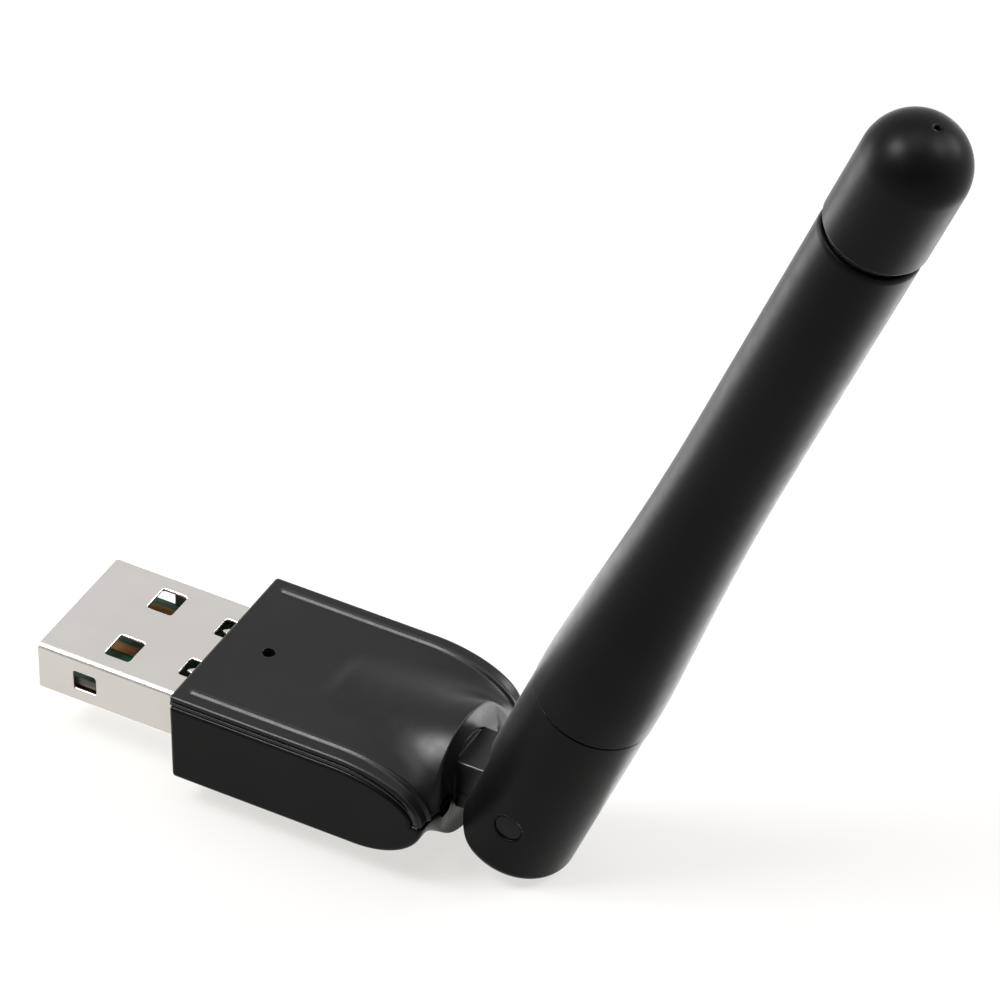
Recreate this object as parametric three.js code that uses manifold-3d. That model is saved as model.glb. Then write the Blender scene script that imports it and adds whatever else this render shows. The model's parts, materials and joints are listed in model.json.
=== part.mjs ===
// USB wireless adapter with a swivelling, tilting stick antenna.
// Millimetres, +Z up. The origin is the centre of the USB plug at the housing's front face.
// +X runs from the plug towards the antenna, and the plug points along -X.
// The antenna is shown tilted up by TILT_DEG from the line of the body.
import * as THREE from "three";
import { mergeVertices } from "three/addons/utils/BufferGeometryUtils.js";
import Module from "manifold-3d";

const wasm = await Module();
wasm.setup();

// ---- Driving dimensions -------------------------------------------------------------------
// USB type A plug
const PLUG_LENGTH = 13.1; // exposed, from the housing's front face to the tip
const PLUG_WIDTH = 12;
const PLUG_HEIGHT = 4.5;
const PLUG_WALL = 0.3;
const PLUG_CORNER = 0.5;
const PLUG_INSIDE = 3; // how far the shell reaches into the housing
const WINDOW = { x: -6.9, y: 3.12, length: 2.2, width: 2.5 };
const SIDE_WINDOW = { x: -8.9, length: 2, height: 1.7 };
const LANCE = { x: -1.1, y: 2.65, length: 1.5, width: 2, tab: 0.9 };

// Housing
const BODY_WIDTH = 16.2;
const BODY_HEIGHT = 8.1;
const BODY_END = 21.9;
const NOSE_TOP = 7.7; // the rear end rounds off over these lengths, above and below
const NOSE_BOTTOM = 5.9;
const WALL = 1;
const EDGE = 0.35;
const COVER_Z = 3.05; // parting line between cover and case
const PARTING_GAP = 0.1;
const PARTING_X = 13.8; // where the parting line starts to drop towards the swivel axis
const PARTING_RUN = 7.3;
const BEAD = { y: 6.78, width: 0.4, height: 0.2, start: 1.1 };
const LED_HOLE = { x: 4.1, radius: 0.5 };

// Barrel that holds the swivel
const BARREL_START = 11;
const BARREL_END = 21.6;
const BARREL_ROOT_RADIUS = 3.9;
const BARREL_RADIUS = 5.3;
const BARREL_DROP = 0.15; // the barrel hangs this far below the swivel axis
const MOUTH_RADIUS = 3.1;
const MOUTH_LENGTH = 2;
const FLANGE_POCKET = { x: 18, radius: 4.2 };
const FACE_HALF_WIDTH = 4.1; // the barrel's flat end face runs between the two shoulders

// Swivel neck and tilt hinge
const SHAFT_RADIUS = 3;
const FLANGE = { x: 18.2, radius: 4, thickness: 1.2 };
const NECK_INNER_END = 17.4;
const TONGUE_START = 21.1; // inside the round shaft, which ends flush with the barrel's face
const HINGE_X = 27.5;
const TONGUE = 4.6; // square section of the tongue, and the diameter of its round end
const TONGUE_BEVEL = 0.3;
const PIN_RADIUS = 1.1;
const PIN_CLEARANCE = 0.05;
const PIN_LENGTH = 9.3;
const CABLE_RADIUS = 0.57;
const CABLE_WAY = 0.75; // radius of every passage for the cable

// Antenna, measured along its own axis from the hinge pin
const TILT_DEG = 67.5;
const BASE_RADIUS = 4.8;
const BASE_LOW = -5.3;
const BASE_HIGH = 12.4;
const SLOT = 4.9;
const SLOT_TOP = 2.55;
const SLOT_BACK = 2.5;
const SPIGOT = { radius: 3.7, length: 3.4 };
const SLEEVE_LOW = 12.6;
const SLEEVE_RADIUS_LOW = 4.85;
const SLEEVE_RADIUS = 3.9;
const FLARE = { from: 15, to: 42, lead: 0.7 }; // a lead below 1 drops early and tapers out slowly
const SLEEVE_HIGH = 66.75;
const SLEEVE_WALL = 0.95;
const CAP_LOW = 67.5;
const CAP_RADIUS = 4;
const CAP_TIP = 78.3;
const CAP_NECK_RADIUS = 3.6;
const CAP_SPIGOT = { radius: 2.75, low: 63, bore: 1.9 };

// Circuit board: its top face lies on the plug's mid-plane
const BOARD = { thickness: 1.6, tip: -12.6, tongue: 11, width: 13.2, shoulder: 3.4, end: 15.4 };
const CONTACT_THICKNESS = 0.06;

// ---- Shape helpers ------------------------------------------------------------------------
// A closed three.js geometry as a solid for joining and cutting.
function solid(geometry) {
  const bare = geometry.index ? geometry.toNonIndexed() : geometry.clone();
  bare.deleteAttribute("normal");
  bare.deleteAttribute("uv");
  const merged = mergeVertices(bare, 1e-4);
  return new wasm.Manifold(
    new wasm.Mesh({
      numProp: 3,
      vertProperties: merged.attributes.position.array,
      triVerts: new Uint32Array(merged.index.array),
    }),
  );
}

function geometryOf(body) {
  const mesh = body.getMesh();
  const geometry = new THREE.BufferGeometry();
  const positions = new Float32Array(mesh.numVert * 3);
  for (let i = 0; i < mesh.numVert; i++) {
    positions.set(mesh.vertProperties.subarray(i * mesh.numProp, i * mesh.numProp + 3), i * 3);
  }
  geometry.setAttribute("position", new THREE.BufferAttribute(positions, 3));
  geometry.setIndex(new THREE.BufferAttribute(mesh.triVerts, 1));
  geometry.computeVertexNormals();
  return geometry;
}

// A box given by its lowest and highest corner.
function block(low, high) {
  const size = high.map((v, i) => v - low[i]);
  const geometry = new THREE.BoxGeometry(...size);
  return solid(geometry.translate(...low.map((v, i) => v + size[i] / 2)));
}

// A solid of revolution about X or Z from [station, radius] pairs, closed on the axis.
function turned(profile, along = "z", segments = 40) {
  const [first] = profile;
  const last = profile[profile.length - 1];
  const points = [[first[0], 0], ...profile, [last[0], 0]].map(([s, r]) => new THREE.Vector2(r, s));
  const geometry = new THREE.LatheGeometry(points, segments);
  if (along === "z") geometry.rotateX(Math.PI / 2);
  if (along === "x") geometry.rotateZ(-Math.PI / 2);
  return solid(geometry);
}

// A plain rod between two stations.
function rod(from, to, radius, along = "z", segments = 32) {
  return turned([[from, radius], [to, radius]], along, segments);
}

// An outline drawn in the XZ plane, made into a plate of the given width, centred on y = 0.
function plateXZ(shape, width, bevel = 0) {
  const geometry = new THREE.ExtrudeGeometry(shape, {
    depth: width - 2 * bevel,
    bevelEnabled: bevel > 0,
    bevelThickness: bevel,
    bevelSize: bevel,
    bevelOffset: -bevel,
    bevelSegments: 2,
    curveSegments: 20,
  });
  return solid(geometry.translate(0, 0, bevel - width / 2).rotateX(Math.PI / 2));
}

// A rounded rectangle in the YZ plane, made into a bar from x0 to x1.
function barX(x0, x1, width, height, corner) {
  const shape = new THREE.Shape();
  const [w, h] = [width / 2 - corner, height / 2 - corner];
  shape.absarc(w, -h, corner, -Math.PI / 2, 0);
  shape.absarc(w, h, corner, 0, Math.PI / 2);
  shape.absarc(-w, h, corner, Math.PI / 2, Math.PI);
  shape.absarc(-w, -h, corner, Math.PI, 1.5 * Math.PI);
  const geometry = new THREE.ExtrudeGeometry(shape, { depth: x1 - x0, bevelEnabled: false, curveSegments: 4 });
  return solid(geometry.rotateX(Math.PI / 2).rotateZ(Math.PI / 2).translate(x0, 0, 0));
}

// A round cable along a smooth curve through the points.
function cable(points, radius, steps) {
  const circle = new THREE.Shape().absarc(0, 0, radius, 0, 2 * Math.PI);
  const path = new THREE.CatmullRomCurve3(points.map((p) => new THREE.Vector3(...p)));
  const options = { extrudePath: path, steps, curveSegments: 5, bevelEnabled: false };
  return solid(new THREE.ExtrudeGeometry(circle, options));
}

const join = (first, ...others) => others.reduce((body, other) => body.add(other), first);
const cut = (first, ...others) => others.reduce((body, other) => body.subtract(other), first);

// ---- Materials ----------------------------------------------------------------------------
const finish = (color, roughness, metalness = 0) =>
  new THREE.MeshStandardMaterial({ color, roughness, metalness });
const MATERIALS = {
  black_plastic: finish(0x1a1a1b, 0.42),
  antenna_plastic: finish(0x141415, 0.48),
  nickel_steel: finish(0xcfcbc6, 0.28, 1),
  pin_steel: finish(0x2a2a2c, 0.4, 0.8),
  board_green: finish(0x1c5a3c, 0.45),
  contact_gold: finish(0xb98a45, 0.3, 1),
  chip_black: finish(0x17181a, 0.55),
  ceramic_tan: finish(0x9b7a55, 0.5),
  crystal_can: finish(0xb9babd, 0.3, 1),
  led_lens: finish(0xd8e0da, 0.2),
  cable_black: finish(0x202022, 0.5),
  radiator_brass: finish(0xb08d4c, 0.35, 1),
};

const adapter = new THREE.Group();

function part(group, name, body, material) {
  const mesh = new THREE.Mesh(geometryOf(body), MATERIALS[material]);
  mesh.name = name;
  group.add(mesh);
}

// ---- Plug ---------------------------------------------------------------------------------
function plugShell() {
  const tube = cut(
    barX(-PLUG_LENGTH, PLUG_INSIDE, PLUG_WIDTH, PLUG_HEIGHT, PLUG_CORNER),
    barX(
      -PLUG_LENGTH - 1,
      PLUG_INSIDE + 1,
      PLUG_WIDTH - 2 * PLUG_WALL,
      PLUG_HEIGHT - 2 * PLUG_WALL,
      PLUG_CORNER - PLUG_WALL,
    ),
  );
  const openings = [];
  for (const side of [-1, 1]) {
    openings.push(
      block(
        [WINDOW.x - WINDOW.length / 2, side * WINDOW.y - WINDOW.width / 2, -PLUG_HEIGHT],
        [WINDOW.x + WINDOW.length / 2, side * WINDOW.y + WINDOW.width / 2, PLUG_HEIGHT],
      ),
      block(
        [LANCE.x - LANCE.length / 2, side * LANCE.y - LANCE.width / 2, -PLUG_HEIGHT],
        [LANCE.x + LANCE.length / 2, side * LANCE.y + LANCE.width / 2, PLUG_HEIGHT],
      ),
    );
  }
  const sideWay = block(
    [SIDE_WINDOW.x - SIDE_WINDOW.length / 2, -PLUG_WIDTH, -SIDE_WINDOW.height / 2],
    [SIDE_WINDOW.x + SIDE_WINDOW.length / 2, PLUG_WIDTH, SIDE_WINDOW.height / 2],
  );
  // Each lance leaves a short tab hanging from the rear edge of its opening.
  const tabs = [];
  for (const side of [-1, 1]) {
    for (const face of [-1, 1]) {
      const outer = (face * PLUG_HEIGHT) / 2;
      const inner = outer - face * PLUG_WALL;
      const rear = LANCE.x + LANCE.length / 2;
      tabs.push(
        block(
          [rear - LANCE.tab, side * LANCE.y - LANCE.width * 0.35, Math.min(outer, inner)],
          [rear + 0.1, side * LANCE.y + LANCE.width * 0.35, Math.max(outer, inner)],
        ),
      );
    }
  }
  return join(cut(tube, ...openings, sideWay), ...tabs);
}

function mainBoard() {
  const tongue = block([BOARD.tip, -BOARD.tongue / 2, -BOARD.thickness], [BOARD.end, BOARD.tongue / 2, 0]);
  const body = block([BOARD.shoulder, -BOARD.width / 2, -BOARD.thickness], [BOARD.end, BOARD.width / 2, 0]);
  return join(tongue, body);
}

function contactFinger(y, width, tip) {
  return block([tip, y - width / 2, 0], [-3.6, y + width / 2, CONTACT_THICKNESS]);
}

part(adapter, "plug_shell", plugShell(), "nickel_steel");
part(adapter, "main_board", mainBoard(), "board_green");
for (const [name, y, width, tip] of [
  ["contact_power", -3.6, 2.2, -12.3],
  ["contact_data_minus", -1, 1, -11.4],
  ["contact_data_plus", 1, 1, -11.4],
  ["contact_ground", 3.6, 2.2, -12.3],
]) {
  part(adapter, name, contactFinger(y, width, tip), "contact_gold");
}

// ---- Components on the board ---------------------------------------------------------------
for (const [name, x, y, length, width, height, material] of [
  ["status_led", LED_HOLE.x + 0.4, 0, 1.6, 0.8, 0.6, "led_lens"],
  ["wifi_chip", 9.6, -1.2, 5, 5, 0.85, "chip_black"],
  ["crystal", 9.4, 4.3, 3.2, 2.5, 0.7, "crystal_can"],
  ["voltage_regulator", 5.6, -4.2, 2.9, 1.6, 1.1, "chip_black"],
  ["power_inductor", 5.8, 4.2, 2.5, 2, 1.2, "chip_black"],
  ["capacitor_input", 8.3, -5.2, 2, 1.2, 0.9, "ceramic_tan"],
  ["capacitor_core", 13.4, -4.2, 1.6, 0.8, 0.8, "ceramic_tan"],
  ["capacitor_crystal", 12.3, 4.4, 1, 0.5, 0.5, "ceramic_tan"],
  ["matching_inductor", 13.5, 1.6, 1, 0.5, 0.5, "ceramic_tan"],
]) {
  const low = [x - length / 2, y - width / 2, 0];
  part(adapter, name, block(low, [x + length / 2, y + width / 2, height]), material);
}

// ---- Housing ------------------------------------------------------------------------------
// Side view of the housing, grown outwards by `proud`.
function sideOutline(proud = 0) {
  const half = BODY_HEIGHT / 2 + proud;
  const shape = new THREE.Shape();
  shape.moveTo(0, half);
  shape.lineTo(0, -half);
  shape.absellipse(BODY_END - NOSE_BOTTOM, 0, NOSE_BOTTOM + proud, half, -Math.PI / 2, 0);
  shape.absellipse(BODY_END - NOSE_TOP, 0, NOSE_TOP + proud, half, 0, Math.PI / 2);
  return shape;
}

function barrel() {
  const steps = 8;
  const profile = [];
  for (let i = 0; i <= steps; i++) {
    const t = i / steps;
    const ease = t * t * (3 - 2 * t);
    profile.push([
      BARREL_START + t * (BARREL_END - EDGE - BARREL_START),
      BARREL_ROOT_RADIUS + ease * (BARREL_RADIUS - BARREL_ROOT_RADIUS),
    ]);
  }
  profile.push([BARREL_END, BARREL_RADIUS - EDGE]);
  return turned(profile, "x", 48).translate([0, 0, -BARREL_DROP]);
}

// Everything above the parting surface, from z = level on: flat over the body, then dropping to the axis.
function abovePartingSurface(shift) {
  const shape = new THREE.Shape();
  shape.moveTo(-2, COVER_Z + shift);
  shape.lineTo(PARTING_X, COVER_Z + shift);
  shape.absellipse(PARTING_X, shift, PARTING_RUN, COVER_Z, Math.PI / 2, 0, true);
  shape.lineTo(BODY_END + 3, shift);
  shape.lineTo(BODY_END + 3, BODY_HEIGHT * 2);
  shape.lineTo(-2, BODY_HEIGHT * 2);
  return plateXZ(shape, BODY_WIDTH * 2);
}

// The room inside both halves: board bay, flange pocket and the mouth of the barrel.
function housingRoom() {
  const bayEnd = 16.9;
  const bay = block(
    [WALL, WALL - BODY_WIDTH / 2, WALL - BODY_HEIGHT / 2],
    [bayEnd, BODY_WIDTH / 2 - WALL, COVER_Z],
  );
  return join(
    bay,
    rod(bayEnd - 0.5, FLANGE_POCKET.x + 0.1, MOUTH_RADIUS, "x"),
    rod(FLANGE_POCKET.x, BARREL_END - MOUTH_LENGTH, FLANGE_POCKET.radius, "x"),
    rod(BARREL_END - MOUTH_LENGTH - 0.1, BARREL_END + 1, MOUTH_RADIUS, "x"),
  );
}

function housingBlank() {
  const ahead = block(
    [BARREL_END, -FACE_HALF_WIDTH, -BODY_HEIGHT],
    [BODY_END + 1, FACE_HALF_WIDTH, BODY_HEIGHT],
  );
  return cut(join(plateXZ(sideOutline(), BODY_WIDTH, EDGE), barrel()), ahead);
}

function topBeads() {
  const beads = [-1, 1].map((side) =>
    plateXZ(sideOutline(BEAD.height), BEAD.width).translate([0, side * BEAD.y, 0]),
  );
  const front = block([-1, -BODY_WIDTH, -BODY_HEIGHT], [BEAD.start, BODY_WIDTH, BODY_HEIGHT]);
  return cut(join(...beads), front);
}

function topCover() {
  const lens = rod(0, BODY_HEIGHT, LED_HOLE.radius, "z", 20).translate([LED_HOLE.x, 0, 0]);
  const upper = join(housingBlank(), topBeads()).intersect(abovePartingSurface(PARTING_GAP / 2));
  return cut(upper, housingRoom(), lens);
}

function bottomCase() {
  const plugWay = barX(-1, WALL + 1, PLUG_WIDTH + 0.2, PLUG_HEIGHT + 0.2, PLUG_CORNER + 0.1);
  return cut(housingBlank(), abovePartingSurface(-PARTING_GAP / 2), housingRoom(), plugWay);
}

// Posts under the board, standing on the case's floor.
function boardPosts() {
  const floor = WALL - BODY_HEIGHT / 2;
  return [
    [5, -5.6],
    [5, 5.6],
    [14.6, -5.6],
    [14.6, 5.6],
  ].map(([x, y]) => block([x - 0.8, y - 0.8, floor - 0.2], [x + 0.8, y + 0.8, -BOARD.thickness - 0.02]));
}

part(adapter, "top_cover", topCover(), "black_plastic");
part(adapter, "bottom_case", join(bottomCase(), ...boardPosts()), "black_plastic");

// ---- Cable --------------------------------------------------------------------------------
// The thin coaxial cable flexes where it crosses each joint, so it is one piece per moving body.
const cableOnBoard = cable([[12.9, 0, 0.65], [15.2, 0, 0.65], [16.6, 0, 0.3]], CABLE_RADIUS, 8);
part(adapter, "coax_on_board", cableOnBoard, "cable_black");

// ---- Swivel neck --------------------------------------------------------------------------
// The way for the cable: a bore up to the tongue, then a slot that passes below the hinge pin.
function neckCableWay() {
  const shape = new THREE.Shape();
  const below = -PIN_RADIUS - 0.1;
  const start = HINGE_X - 5.4;
  shape.moveTo(start, -CABLE_WAY);
  shape.lineTo(start + 1, -TONGUE);
  shape.lineTo(HINGE_X + TONGUE, -TONGUE);
  shape.lineTo(HINGE_X + TONGUE, below);
  shape.lineTo(HINGE_X - 1.5, below);
  shape.lineTo(HINGE_X - 3.6, CABLE_WAY);
  shape.lineTo(start, CABLE_WAY);
  return join(plateXZ(shape, 2 * CABLE_WAY), rod(NECK_INNER_END - 1, start + 1, CABLE_WAY, "x", 20));
}

function tongueOutline() {
  const half = TONGUE / 2;
  const shape = new THREE.Shape();
  shape.moveTo(TONGUE_START, half);
  shape.lineTo(TONGUE_START, -half);
  shape.absarc(HINGE_X, 0, half, -Math.PI / 2, Math.PI / 2);
  return shape;
}

function swivelNeck() {
  const shaft = turned(
    [
      [NECK_INNER_END, SHAFT_RADIUS],
      [FLANGE.x, SHAFT_RADIUS],
      [FLANGE.x, FLANGE.radius],
      [FLANGE.x + FLANGE.thickness, FLANGE.radius],
      [FLANGE.x + FLANGE.thickness, SHAFT_RADIUS],
      [BARREL_END, SHAFT_RADIUS],
    ],
    "x",
  );
  const bore = rod(-TONGUE, TONGUE, PIN_RADIUS + PIN_CLEARANCE, "z", 24);
  const pinHole = bore.rotate([90, 0, 0]).translate([HINGE_X, 0, 0]);
  return cut(join(shaft, plateXZ(tongueOutline(), TONGUE, TONGUE_BEVEL)), pinHole, neckCableWay());
}

const neckCableRoute = [
  [17, 0, 0],
  [20, 0, 0],
  [22.4, 0, 0],
  [23.6, 0, -0.5],
  [24.7, 0, -1.35],
  [25.7, 0, -1.8],
  [27, 0, -1.8],
];

part(adapter, "swivel_neck", swivelNeck(), "antenna_plastic");
part(adapter, "coax_in_neck", cable(neckCableRoute, CABLE_RADIUS, 24), "cable_black");

// ---- Antenna ------------------------------------------------------------------------------
// Its own group: z runs along the antenna from the hinge pin, and -x is the side the neck folds to.
const antenna = new THREE.Group();
antenna.position.set(HINGE_X, 0, 0);
antenna.rotation.y = THREE.MathUtils.degToRad(90 - TILT_DEG);
adapter.add(antenna);

function antennaBase() {
  const lip = 0.8;
  const outside = turned([
    [BASE_LOW, BASE_RADIUS - lip],
    [BASE_LOW + 0.3 * lip, BASE_RADIUS - 0.3 * lip],
    [BASE_LOW + lip, BASE_RADIUS],
    [BASE_HIGH, BASE_RADIUS],
    [BASE_HIGH, SPIGOT.radius],
    [BASE_HIGH + SPIGOT.length, SPIGOT.radius],
  ], "z", 48);
  // The lower corner on the folding side is round about the pin, to clear the barrel.
  const quadrant = block([-2 * BASE_RADIUS, -2 * BASE_RADIUS, 2 * BASE_LOW], [0, 2 * BASE_RADIUS, 0]);
  const round = rod(-2 * BASE_RADIUS, 2 * BASE_RADIUS, -BASE_LOW, "z", 64).rotate([90, 0, 0]);
  const slot = block([-2 * BASE_RADIUS, -SLOT / 2, 2 * BASE_LOW], [SLOT_BACK, SLOT / 2, SLOT_TOP]);
  const cableWay = rod(SLOT_TOP - 1, BASE_HIGH + 2 * SPIGOT.length, 1.2, "z", 24);
  const pinHole = rod(-2 * BASE_RADIUS, 2 * BASE_RADIUS, PIN_RADIUS + PIN_CLEARANCE, "z", 24).rotate([90, 0, 0]);
  return cut(outside, quadrant.subtract(round), slot, cableWay, pinHole);
}

function sleeveRadius(station) {
  const along = THREE.MathUtils.clamp((station - FLARE.from) / (FLARE.to - FLARE.from), 0, 1);
  const t = along ** FLARE.lead;
  const ease = t * t * (3 - 2 * t);
  return SLEEVE_RADIUS_LOW + ease * (SLEEVE_RADIUS - SLEEVE_RADIUS_LOW);
}

function antennaSleeve() {
  const stations = [SLEEVE_LOW];
  for (let s = FLARE.from; s <= FLARE.to; s += 3) stations.push(s);
  stations.push(SLEEVE_HIGH);
  const wallAt = (inset) => stations.map((s) => [s, sleeveRadius(s) - inset]);
  const room = wallAt(SLEEVE_WALL);
  room[0][0] -= 1;
  room[room.length - 1][0] += 1;
  return cut(turned(wallAt(0), "z", 48), turned(room, "z", 40));
}

function antennaCap() {
  const profile = [
    [CAP_SPIGOT.low, CAP_SPIGOT.radius],
    [SLEEVE_HIGH + 0.15, CAP_SPIGOT.radius],
    [SLEEVE_HIGH + 0.15, CAP_NECK_RADIUS],
    [CAP_LOW, CAP_NECK_RADIUS],
    [CAP_LOW, CAP_RADIUS - 0.1],
  ];
  const arcSteps = 8;
  for (let i = 0; i < arcSteps; i++) {
    const angle = (i / arcSteps) * (Math.PI / 2);
    profile.push([CAP_TIP - CAP_RADIUS + CAP_RADIUS * Math.sin(angle), CAP_RADIUS * Math.cos(angle)]);
  }
  profile.push([CAP_TIP, 0.02]);
  const hollow = rod(CAP_SPIGOT.low - 1, CAP_TIP - CAP_RADIUS, CAP_SPIGOT.bore, "z", 24);
  const gateMark = rod(CAP_TIP - 0.5, CAP_TIP + 1, 0.28, "z", 12);
  return cut(turned(profile, "z", 48), hollow, gateMark);
}

function hingePin() {
  return rod(-PIN_LENGTH / 2, PIN_LENGTH / 2, PIN_RADIUS, "z", 24).rotate([90, 0, 0]);
}

const RADIATOR = { low: 22, high: 44, radius: 2.1, bore: 1.5 };
const radiatorSleeve = cut(
  rod(RADIATOR.low, RADIATOR.high, RADIATOR.radius, "z", 24),
  rod(RADIATOR.low - 1, RADIATOR.high - 0.5, RADIATOR.bore, "z", 20),
  rod(RADIATOR.low, RADIATOR.high + 1, CABLE_RADIUS + 0.05, "z", 16),
);
part(antenna, "antenna_base", antennaBase(), "antenna_plastic");
part(antenna, "hinge_pin", hingePin(), "pin_steel");
part(antenna, "antenna_sleeve", antennaSleeve(), "antenna_plastic");
part(antenna, "antenna_cap", antennaCap(), "antenna_plastic");
part(antenna, "coax_in_antenna", rod(3.4, RADIATOR.high + 0.6, CABLE_RADIUS, "z", 16), "cable_black");
part(antenna, "radiator_sleeve", radiatorSleeve, "radiator_brass");
part(antenna, "radiator_wire", rod(RADIATOR.high + 0.7, 68, 0.3, "z", 12), "radiator_brass");

export default adapter;
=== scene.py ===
"""A USB wireless adapter with a swivelling stick antenna: its looks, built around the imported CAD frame.

Lengths are millimetres in the CAD frame until a mesh is made, and metres in Blender.
Curved mouldings are written as distance fields and meshed by surface_net; turned pieces are lathed.
"""

import functools
import json
import math

import bmesh
import bpy
import numpy as np
from mathutils import Matrix, Vector


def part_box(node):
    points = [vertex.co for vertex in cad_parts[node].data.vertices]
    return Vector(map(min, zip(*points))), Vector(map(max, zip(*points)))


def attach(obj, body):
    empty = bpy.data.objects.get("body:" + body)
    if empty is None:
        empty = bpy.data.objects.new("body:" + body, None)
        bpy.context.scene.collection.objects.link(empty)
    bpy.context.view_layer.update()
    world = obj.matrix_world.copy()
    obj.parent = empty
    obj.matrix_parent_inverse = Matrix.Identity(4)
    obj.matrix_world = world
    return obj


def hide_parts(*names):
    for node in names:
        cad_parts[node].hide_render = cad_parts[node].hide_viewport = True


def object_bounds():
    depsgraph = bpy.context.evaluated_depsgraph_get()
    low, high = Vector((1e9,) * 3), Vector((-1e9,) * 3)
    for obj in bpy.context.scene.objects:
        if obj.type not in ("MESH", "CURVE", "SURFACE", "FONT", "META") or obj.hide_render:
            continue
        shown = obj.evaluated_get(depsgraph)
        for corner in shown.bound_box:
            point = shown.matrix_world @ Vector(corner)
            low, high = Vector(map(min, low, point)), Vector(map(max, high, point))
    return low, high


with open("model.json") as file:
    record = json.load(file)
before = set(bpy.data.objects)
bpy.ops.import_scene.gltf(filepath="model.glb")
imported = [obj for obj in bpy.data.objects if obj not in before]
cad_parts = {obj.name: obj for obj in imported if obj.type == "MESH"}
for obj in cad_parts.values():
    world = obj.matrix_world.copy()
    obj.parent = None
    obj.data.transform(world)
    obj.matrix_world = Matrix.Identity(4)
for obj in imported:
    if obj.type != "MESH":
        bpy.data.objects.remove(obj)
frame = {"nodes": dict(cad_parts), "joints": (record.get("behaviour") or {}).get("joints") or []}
cad_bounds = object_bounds()

MM = 0.001
FINE = 1.0  # grid cells grow by this while trying things

# ---- Driving dimensions, as in the CAD ------------------------------------------------------
PLUG_LENGTH, PLUG_WIDTH, PLUG_HEIGHT = 13.1, 12.0, 4.5
PLUG_WALL, PLUG_CORNER, PLUG_INSIDE = 0.3, 0.5, 3.0
WINDOW = {"x": -6.9, "y": 3.12, "length": 2.2, "width": 2.5}
SIDE_WINDOW = {"x": -8.9, "length": 2.0, "height": 1.7}
LANCE = {"x": -1.1, "y": 2.65, "length": 1.5, "width": 2.0}

BODY_HALF_WIDTH, BODY_HALF_HEIGHT, BODY_END = 8.1, 4.05, 21.9
NOSE_TOP, NOSE_BOTTOM = 7.7, 5.9
WALL, EDGE = 1.0, 0.36
COVER_Z, PARTING_X, PARTING_RUN, PARTING_GAP = 3.05, 13.8, 7.3, 0.1
BEAD = {"y": 6.78, "height": 0.2, "slope_deg": 34.0, "start": 1.1}
GROOVE = {"middle": 0.48, "width": 0.34, "depth": 0.27, "end": 20.4}
LIP_INSET = 0.11  # of the cover's rim behind the case's side
LED_HOLE = {"x": 4.1, "radius": 0.5}
BARREL_START, BARREL_END = 11.0, 21.6
BARREL_ROOT, BARREL_RADIUS, BARREL_DROP, BARREL_FILLET = 3.9, 5.3, 0.15, 1.8
FACE_HALF_WIDTH = 4.1
MOUTH_RADIUS, POCKET_RADIUS = 3.1, 4.2
BAY_END, POCKET_START, POCKET_END = 16.9, 18.0, 19.6

SHAFT_RADIUS, FLANGE_RADIUS, FLANGE_START, FLANGE_END = 3.0, 4.0, 18.2, 19.4
NECK_START, TONGUE_START = 17.4, 21.1
TONGUE_HALF = 2.3
PIN_HOLE, CABLE_WAY = 1.15, 0.75

BASE_RADIUS, BASE_LOW, BASE_HIGH = 4.8, -5.3, 12.4
SPIGOT_RADIUS, SPIGOT_HIGH, BASE_CABLE_WAY = 3.7, 15.8, 1.2
SLOT_HALF, SLOT_TOP, SLOT_BACK = 2.45, 2.55, 2.5
SLEEVE_LOW, SLEEVE_HIGH, SLEEVE_WALL = 12.6, 66.75, 0.95
SLEEVE_RADIUS_LOW, SLEEVE_RADIUS = 4.85, 3.9
FLARE_FROM, FLARE_TO, FLARE_LEAD = 15.0, 42.0, 0.7
CAP_LOW, CAP_TIP, CAP_RADIUS, CAP_NECK_RADIUS = 67.5, 78.3, 4.0, 3.6

BOARD_THICKNESS, BOARD_TIP, BOARD_END = 1.6, -12.6, 15.4
TONGUE_HALF_WIDTH, BOARD_HALF_WIDTH, BOARD_SHOULDER = 5.5, 6.6, 3.4

tilt = next(j for j in frame["joints"] if j["name"] == "antenna_tilt")
HINGE = Vector(tilt["pos_m"])
LEAN = math.radians(-tilt["range_deg"][0])  # upright is the joint's lower limit
ANTENNA_PLACE = Matrix.Translation(HINGE) @ Matrix.Rotation(LEAN, 4, "Y")


# ---- Fields: negative inside, and about the distance in millimetres near the surface ---------
def ease(t):
    t = np.clip(t, 0, 1)
    return t * t * (3 - 2 * t)


def all_of(*fields):
    return functools.reduce(np.maximum, fields)


def any_of(*fields):
    return functools.reduce(np.minimum, fields)


def rounded(radius, *fields):
    """What all the fields hold in common, with its edges rounded."""
    raised = [f + radius for f in fields]
    outside = np.sqrt(sum(np.maximum(f, 0) ** 2 for f in raised))
    return outside + np.minimum(all_of(*raised), 0) - radius


def blended(reach, a, b):
    """Both fields together, with a fillet where they meet."""
    near = np.maximum(reach - np.abs(a - b), 0) / reach
    return np.minimum(a, b) - near * near * reach / 4


def block(p, low, high, radius=0.0):
    sides = [np.abs(v - (a + b) / 2) - (b - a) / 2 for v, a, b in zip(p, low, high)]
    return rounded(radius, *sides)


def rod_x(p, start, end, rod_radius, radius=0.0):
    x, y, z = p
    return rounded(radius, np.hypot(y, z) - rod_radius, start - x, x - end)


def ellipse(u, v, a, b):
    level = np.sqrt((u / a) ** 2 + (v / b) ** 2) + 1e-9
    slope = np.sqrt((u / a**2) ** 2 + (v / b**2) ** 2) / level + 1e-9
    return (level - 1) / slope


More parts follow.
